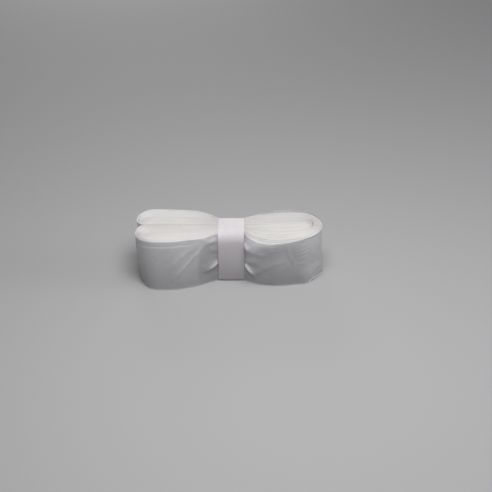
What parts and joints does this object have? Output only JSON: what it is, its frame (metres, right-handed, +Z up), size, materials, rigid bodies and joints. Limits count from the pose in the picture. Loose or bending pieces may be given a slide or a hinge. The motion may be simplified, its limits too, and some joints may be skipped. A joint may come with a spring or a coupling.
{
  "type": "grip tape roll",
  "caption": "Roll of thin white under-grip film for a racket handle, wound flat, folded double and held at its waist by a paper band.",
  "frame": {"origin": "middle of the roll's footprint, on the surface that it stands on", "axes": "+X along the roll towards its folded end, +Y to the rear, where the band's lap is, +Z up across the film's width"},
  "size_m": [0.1178, 0.0385, 0.0368],
  "materials": {
    "film": "thin translucent white film, satin",
    "paper": "smooth uncoated white paper",
    "adhesive": "dry clear adhesive"
  },
  "bodies": {
    "film_hank": {"film_turns_01": "film", "film_turns_02": "film", "film_turns_03": "film", "film_turns_04": "film", "film_turns_05": "film", "film_turns_06": "film", "film_turns_07": "film", "film_turns_08": "film", "film_turns_09": "film", "film_outer_wrap": "film", "film_outer_end": "film"},
    "band": {"paper_band": "paper", "band_adhesive": "adhesive"}
  },
  "joints": [
    {"name": "band_slide", "type": "slide", "parent": "film_hank", "child": "band", "axis": [1, 0, 0], "range_m": [-0.072, 0.068], "deforming": ["film_turns_01", "film_turns_02", "film_turns_03", "film_turns_04", "film_turns_05", "film_turns_06", "film_turns_07", "film_turns_08", "film_turns_09", "film_outer_wrap", "film_outer_end"]}
  ]
}
